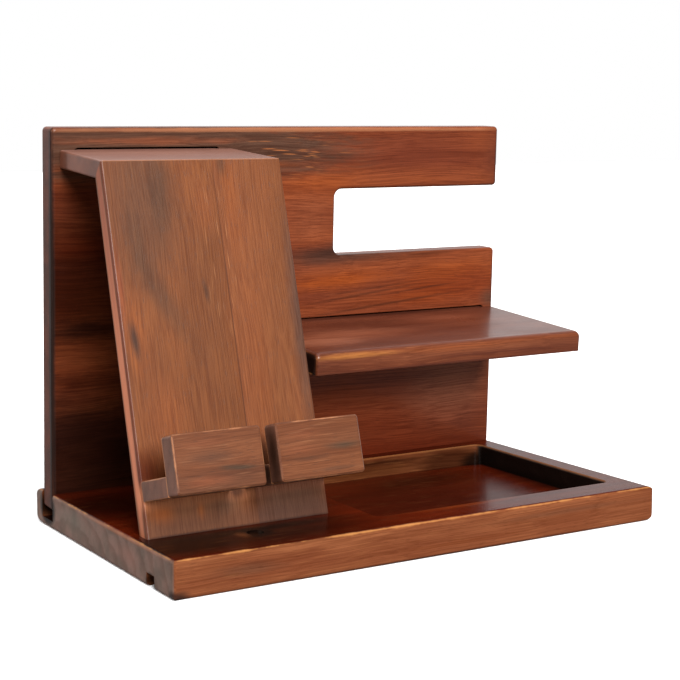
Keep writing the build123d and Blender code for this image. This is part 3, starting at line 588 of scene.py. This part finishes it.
# Phone rest plate
# Two hardwood staves glued edge to edge, their grain running up the slope. The left one is the
# wider and greyer, and the stain has gone thin and orange on both sides of the glue line.
plate_tilt_deg = 15.6
plate_turn = Matrix.Rotation(math.radians(90 - plate_tilt_deg), 3, "X")
stave_turn = plate_turn @ Matrix.Rotation(math.radians(90), 3, "Z")
plate_grey = wood_colour(117, 75, 50)
plate_smoke = wood_colour(98, 67, 48)
plate_orange = wood_colour(160, 90, 47)
plate_knot = wood_colour(76, 54, 44)
plate_foot = wood_colour(176, 114, 76)
stave_clouds_and_painted_light = {
    "rest_plate_left_stave": (
        stain_and_painted_light(plate_grey, (0.74, 0.3, 1), (0.56, 0.85, 1.8), 0.85, ragged=0.5, soft=0.8),
        stain_and_painted_light(plate_smoke, (0.82, 0.05, 1), (0.34, 0.28, 1.8), 0.7, ragged=0.7),
        stain_and_painted_light(plate_smoke, (0.5, 0.55, 1), (0.3, 0.3, 1.8), 0.5, ragged=0.6),
        stain_and_painted_light(plate_smoke, (0.26, 0.24, 1), (0.38, 0.3, 1.8), 0.65, slant=-24, ragged=0.5),
        stain_and_painted_light(plate_grey, (-0.06, -0.35, 1), (0.34, 0.3, 1.8), 0.2, slant=-8, ragged=0.5),
        stain_and_painted_light(plate_knot, (0.27, -0.58, 1), (0.1, 0.08, 1.8), 0.6, slant=-6, ragged=0.4),
        stain_and_painted_light(plate_orange, (0.74, -0.75, 1), (0.22, 0.28, 1.8), 0.6, slant=4),
        stain_and_painted_light(wood_colour(166, 86, 54), (0.3, 0.93, 1), (0.4, 0.09, 1.8), 0.6),
        stain_and_painted_light(wood_colour(176, 98, 46), (0.06, 0.78, 1), (0.34, 0.26, 1.8), 0.7, ragged=0.5),
        stain_and_painted_light(plate_knot, (0.03, 0.79, 1), (0.17, 0.13, 1.8), 0.9, slant=-7, ragged=0.3, soft=0.95),
        stain_and_painted_light(plate_orange, (-0.38, 0.4, 1), (0.3, 0.6, 1.8), 0.6, ragged=0.6),
        stain_and_painted_light(wood_colour(112, 46, 24), (-0.68, 0.9, 1), (0.2, 0.5, 1.8), 0.85, ragged=0.2),
        stain_and_painted_light(plate_foot, (-0.91, 0, 1), (0.2, 1.1, 1.8), 0.8, ragged=0.2, soft=0.6),
        stain_and_painted_light(wood_colour(198, 110, 50, 1.8), (-0.88, 0.68, 1), (0.14, 0.3, 1.8), 0.85, ragged=0.5),
        stain_and_painted_light(wood_colour(196, 108, 48, 1.7), (-0.9, 0.02, 1), (0.12, 0.1, 1.8), 0.7, ragged=0.5),
        stain_and_painted_light(wood_colour(128, 92, 68), (-0.88, -0.4, 1), (0.14, 0.4, 1.8), 0.6, ragged=0.3),
        # Painted light and shade on the foot: a lighter band under the ledges that cancels their cast shadow,
        # the middle tone again where light passes between them, and painted shade at the bottom.
        stain_and_painted_light(wood_colour(165, 106, 72, 0.6), (-0.784, 0, 1), (0.1, 20, 1.8), 0.95, ragged=0.05),
        stain_and_painted_light(wood_colour(118, 72, 50), (-0.81, -0.67, 1), (0.07, 0.24, 1.8), 0.95, ragged=0.05, soft=0.8),
        stain_and_painted_light(wood_colour(165, 106, 74, 3.3), (-1, 0, 1), (0.134, 20, 1.8), 0.95, ragged=0.1, soft=0.75),
    ),
    "rest_plate_right_stave": (
        stain_and_painted_light(plate_orange, (0.66, 0.6, 1), (0.37, 0.4, 1.8), 0.8, ragged=0.4),
        stain_and_painted_light(wood_colour(174, 98, 46), (0.84, 0.62, 1), (0.24, 0.28, 1.8), 0.5, ragged=0.4),
        stain_and_painted_light(plate_smoke, (0.97, 0.75, 1), (0.1, 0.2, 1.8), 0.6, ragged=0.4),
        stain_and_painted_light(plate_orange, (-0.1, 0.38, 1), (0.72, 0.6, 1.8), 0.5, ragged=0.4),
        stain_and_painted_light(wood_colour(98, 72, 62), (0.1, -0.95, 1), (0.95, 0.42, 1.8), 0.8, slant=1.5, ragged=0.4),
        stain_and_painted_light(wood_colour(148, 103, 79), (-0.91, 0, 1), (0.2, 1.3, 1.8), 0.85, ragged=0.2, soft=0.6),
        # Painted light on the foot's upper band, cancelling the ledges' cast shadow, and painted shade at its
        # bottom.
        stain_and_painted_light(wood_colour(150, 98, 74, 0.55), (-0.784, 0, 1), (0.1, 20, 1.8), 0.95, ragged=0.05),
        stain_and_painted_light(wood_colour(138, 93, 73, 3.0), (-1, 0, 1), (0.134, 20, 1.8), 0.95, ragged=0.1, soft=0.75),
        # Painted shadow of the left lip on the plate, seen between the holders.
        stain_and_painted_light(wood_colour(80, 46, 32), (-0.63, 0.62, 1), (0.13, 0.25, 1.8), 0.75, ragged=0.1),
    ),
}
stave_looks = {
    "rest_plate_left_stave": (31.0, wood_colour(150, 87, 46), wood_colour(136, 80, 44), -1),
    "rest_plate_right_stave": (37.0, wood_colour(156, 91, 52), wood_colour(144, 86, 49), 1),
}
# The plate's left side is painted lighter, a painted highlight for the light on that side, darker towards its
# top end, and the stain is darker at its front arris.
left_side_painted_light_and_stain = [
    stain_and_painted_light(wood_colour(208, 125, 90, 1.3), (0, 1, 0), (1.6, 0.09, 0.95), 0.85, ragged=0.3, soft=0.6),
    stain_and_painted_light(wood_colour(140, 74, 52, 1.35), (0.8, 1, 0), (1.1, 0.09, 0.95), 0.8, ragged=0.3),
    stain_and_painted_light(wood_colour(92, 32, 14), (0, 1, 1), (3, 0.04, 0.35), 0.8, ragged=0.3, soft=0.7),
]
for stave, (stave_seed, stave_light, stave_dark, glue_side) in stave_looks.items():
    stave_seams_and_painted_light = [
        stain_and_painted_light(wood_colour(84, 46, 28), (0, glue_side, 1), (1.3, 0.018, 1.6), 0.7, ragged=0.3, soft=0.6),
        # A painted highlight along the top arris, and a painted contact shadow along the foot's front edge.
        stain_and_painted_light(wood_colour(205, 150, 118), (1, 0, 1), (0.008, 3, 0.4), 0.5, ragged=0.3),
        stain_and_painted_light(wood_colour(44, 24, 16), (-1, 0, 1), (0.014, 3, 0.5), 0.75, ragged=0.3),
    ]
    if glue_side < 0:
        stave_seams_and_painted_light += left_side_painted_light_and_stain
    finish_board(
        stave, "wood", stave_seed, stave_turn,
        tones={
            "light": stave_light, "dark": stave_dark, "ring": wood_colour(200, 176, 160, 1.0),
            "fibre": wood_colour(172, 142, 124, 1.0), "pore": wood_colour(78, 46, 32),
            "fleck": wood_colour(205, 138, 90), "end": wood_colour(110, 72, 56),
            "end_dark": wood_colour(72, 50, 40), "arris": wood_colour(182, 106, 72),
        },
        grain={
            "Fibre": 1900.0, "Length": 50.0, "Ring": 0.009, "Wander": 0.006, "Pith": (0.0, 0.02, -0.07),
            "ring_depth": 0.12, "fibre_depth": 0.65, "pore_depth": 0.4, "fleck_depth": 0.5,
        },
        clouds_and_painted_light=stave_clouds_and_painted_light[stave],
        bare=(((0, glue_side, 0), (3, 0.13, 2.4)), ((-1, 0, 0), (0.05, 2, 2.4)), ((0, 1, 0), (3, 0.08, 2.4))),
        seams_and_painted_light=stave_seams_and_painted_light,
        flecked={"place": (0.45, glue_side, 1), "reach": (0.7, 0.6, 1.8), "ragged": 0.4, "soft": 0.9},
        arris={"width": 0.0006, "shade": 0.1, "rubbed": 0.5},
        gloss={"matt": 0.38, "uneven": 0.08, "sheen": 0.12, "specular": 0.12},
    )


# Phone holders
# Two ledges dowelled square to the plate, each with an upright lip dowelled across its end.
# Short offcuts with level grain, brown-pink with grey-green streaks and pale rubbed arrises.
holder_umber = wood_colour(104, 70, 52)
holder_green = wood_colour(90, 74, 58)
holder_orange = wood_colour(154, 88, 56)
holder_clouds = {
    "left_lip": (
        stain_and_painted_light(holder_umber, (-0.17, 0.13, 1), (0.83, 0.34, 1.5), 0.6, ragged=0.8),
        stain_and_painted_light(holder_green, (0.35, -0.3, 1), (0.66, 0.14, 1.5), 0.8, slant=4, ragged=0.9),
        stain_and_painted_light(holder_orange, (-0.3, -0.65, 1), (0.8, 0.24, 1.5), 0.7, ragged=0.6),
        stain_and_painted_light(holder_orange, (-0.3, 0.6, 1), (0.8, 0.2, 1.5), 0.4, ragged=0.6),
    ),
    "right_lip": (
        stain_and_painted_light(holder_green, (0.55, 0.0, 1), (0.6, 0.2, 1.5), 0.75, ragged=0.9),
        stain_and_painted_light(holder_orange, (-0.5, 0.0, 1), (0.6, 0.3, 1.5), 0.5, ragged=0.6),
        stain_and_painted_light(holder_umber, (-0.25, -0.3, 1), (0.7, 0.13, 1.5), 0.6, ragged=0.9),
        stain_and_painted_light(holder_orange, (-0.41, 0.54, 1), (0.66, 0.34, 1.5), 0.5, ragged=0.6),
        stain_and_painted_light(holder_umber, (0.3, -0.75, 1), (0.7, 0.12, 1.5), 0.6, ragged=0.9),
    ),
}
holder_seams_and_painted_shade = {
    # Painted shade on the right lip's and right ledge's left ends, which face the gap between the holders.
    "right_lip": (stain_and_painted_light(wood_colour(48, 28, 20), (-1, 0, 0), (0.06, 1.4, 1.2), 0.8, ragged=0.3),),
    "right_ledge": (stain_and_painted_light(wood_colour(38, 22, 16), (-1, 0, 0), (0.1, 1.8, 1.8), 0.95, ragged=0.1, soft=0.6),),
    "left_lip": (stain_and_painted_light(wood_colour(214, 144, 98), (1, 0, 1), (0.035, 1.2, 0.4), 0.7, ragged=0.5),),
}
holder_bare = {"right_lip": (((-1, 0, 1), (0.08, 1.3, 0.6)),)}
holder_seeds = {"left_ledge": 41.0, "right_ledge": 43.0, "left_lip": 47.0, "right_lip": 53.0}
for holder, holder_seed in holder_seeds.items():
    finish_board(
        holder, "wood", holder_seed, plate_turn,
        tones={
            "light": wood_colour(140, 84, 53), "dark": wood_colour(118, 72, 48),
            "ring": wood_colour(190, 164, 146, 1.0), "fibre": wood_colour(150, 122, 106, 1.0),
            "pore": wood_colour(70, 46, 34), "fleck": wood_colour(185, 128, 90),
            "end": wood_colour(117, 76, 60, 1.2), "end_dark": wood_colour(97, 65, 52, 1.2),
            "arris": wood_colour(214, 144, 98),
        },
        grain={
            "Fibre": 2200.0, "Length": 110.0, "Ring": 0.008, "Wander": 0.006, "Pith": (0.0, 0.03, -0.05),
            "ring_depth": 0.3, "fibre_depth": 0.55, "pore_depth": 0.4, "fleck_depth": 0.2,
        },
        clouds_and_painted_light=holder_clouds.get(holder, ()),
        bare=holder_bare.get(holder, ()),
        seams_and_painted_light=holder_seams_and_painted_shade.get(holder, ()),
        arris={"width": 0.0008, "shade": 0.1, "rubbed": 0.9},
        gloss={"matt": 0.38, "uneven": 0.08, "sheen": 0.12, "specular": 0.12},
    )


# Dowels
# Plain round beech pegs, left unstained. Three cross the glued mitre, and two hold each ledge to the
# plate and each lip to its ledge. They sit in bores with a little play and stay out of sight.
for peg in ("mitre_dowels", "ledge_dowels", "lip_dowels"):
    finish_board(
        peg, "beech", 61.0, base_turn,
        tones={
            "light": wood_colour(214, 176, 132, 1.3), "dark": wood_colour(196, 154, 110, 1.3),
            "ring": wood_colour(220, 200, 176, 1.0), "fibre": wood_colour(214, 190, 165, 1.0),
            "pore": wood_colour(140, 96, 62, 1.3), "fleck": wood_colour(168, 120, 80, 1.3),
            "end": wood_colour(190, 150, 108, 1.3), "end_dark": wood_colour(160, 120, 84, 1.3),
        },
        grain={
            "Fibre": 1200.0, "Length": 20.0, "Ring": 0.006, "Wander": 0.003, "Pith": (0.0, 0.02, -0.03),
            "ring_depth": 0.3, "fibre_depth": 0.4, "pore_depth": 0.2, "fleck_depth": 0.4,
        },
        gloss={"matt": 0.6, "uneven": 0.1, "sheen": 0.0, "specular": 0.15},
    )


# Camera
# A long lens set a little above the organizer and to its left, at the photograph's angle.
frame_side_px = 680
sensor_width_mm = 36.0
focal_length_px = 1591.2
axis_x_px = 338.4
axis_y_px = 290.4
camera_place = (-0.4652, -0.7600, 0.2267)
camera_yaw = math.radians(31.23)
camera_pitch = math.radians(6.06)

camera_data = bpy.data.cameras.new("photo_camera")
camera_data.sensor_width = sensor_width_mm
camera_data.lens = focal_length_px * sensor_width_mm / frame_side_px
camera_data.shift_x = (frame_side_px / 2 - axis_x_px) / frame_side_px
camera_data.shift_y = (axis_y_px - frame_side_px / 2) / frame_side_px
camera = bpy.data.objects.new("photo_camera", camera_data)
camera.location = camera_place
camera.rotation_euler = (math.pi / 2 - camera_pitch, 0, -camera_yaw)
bpy.context.collection.objects.link(camera)
bpy.context.scene.camera = camera


# Floor, background and lights
# A pale seamless table, a white surround that is brighter behind, and three large soft lamps. The
# camera sees the table and the surround pale, and the wood gets less light from them than that.
floor_side = 12
floor_seen_tone = (0.93, 0.93, 0.93, 1.0)
floor_bounce_tone = (0.2, 0.2, 0.2, 1.0)
surround_white = (1.0, 1.0, 1.0, 1.0)
behind_way = (0.40, 0.90, 0.15)
bpy.ops.object.select_all(action="DESELECT")
bpy.ops.mesh.primitive_plane_add(size=floor_side, location=(0, 0, 0))
floor = bpy.context.object
floor.name = "studio_floor"
floor_material = bpy.data.materials.new("pale_floor")
floor_material.use_nodes = True
floor_tree = floor_material.node_tree
floor_shader = floor_tree.nodes["Principled BSDF"]
floor_shader.inputs["Roughness"].default_value = 0.8
floor_seen = put(floor_tree, "ShaderNodeLightPath").outputs["Is Camera Ray"]
floor_tint = blend_of(floor_tree, floor_seen, floor_bounce_tone, floor_seen_tone)
floor_tree.links.new(floor_tint, floor_shader.inputs["Base Color"])
floor.data.materials.append(floor_material)

world = bpy.data.worlds.new("white_surround")
world.use_nodes = True
sky = world.node_tree
sky_ways = {0: put(sky, "ShaderNodeTexCoord").outputs["Generated"], 1: behind_way}
sky_behind = put(sky, "ShaderNodeVectorMath", sky_ways, operation="DOT_PRODUCT").outputs["Value"]
sky_light = ramp_of(sky, sky_behind, -0.25, 0.85, 0.07, 1.0)
sky_seen = put(sky, "ShaderNodeLightPath").outputs["Is Camera Ray"]
sky_light = blend_of(sky, sky_seen, sky_light, surround_white)
sky.links.new(sky_light, sky.nodes["Background"].inputs["Color"])
sky.nodes["Background"].inputs["Strength"].default_value = 1.0
bpy.context.scene.world = world
bpy.context.scene.view_settings.view_transform = "Standard"


# A large lamp far off. Its direction and its spread are in degrees.
def soft_lamp(name, azimuth, elevation, spread, strength):
    lamp_data = bpy.data.lights.new(name, "SUN")
    lamp_data.angle = math.radians(spread)
    lamp_data.energy = strength
    lamp = bpy.data.objects.new(name, lamp_data)
    lamp.rotation_euler = Euler((math.radians(90 - elevation), 0, math.radians(azimuth)))
    bpy.context.collection.objects.link(lamp)


soft_lamp("front_softbox", -6.0, 32.0, 36.0, 7.4)
soft_lamp("overhead_softbox", 0.0, 84.0, 50.0, 1.4)
soft_lamp("left_softbox", -85.0, 14.0, 40.0, 1.9)
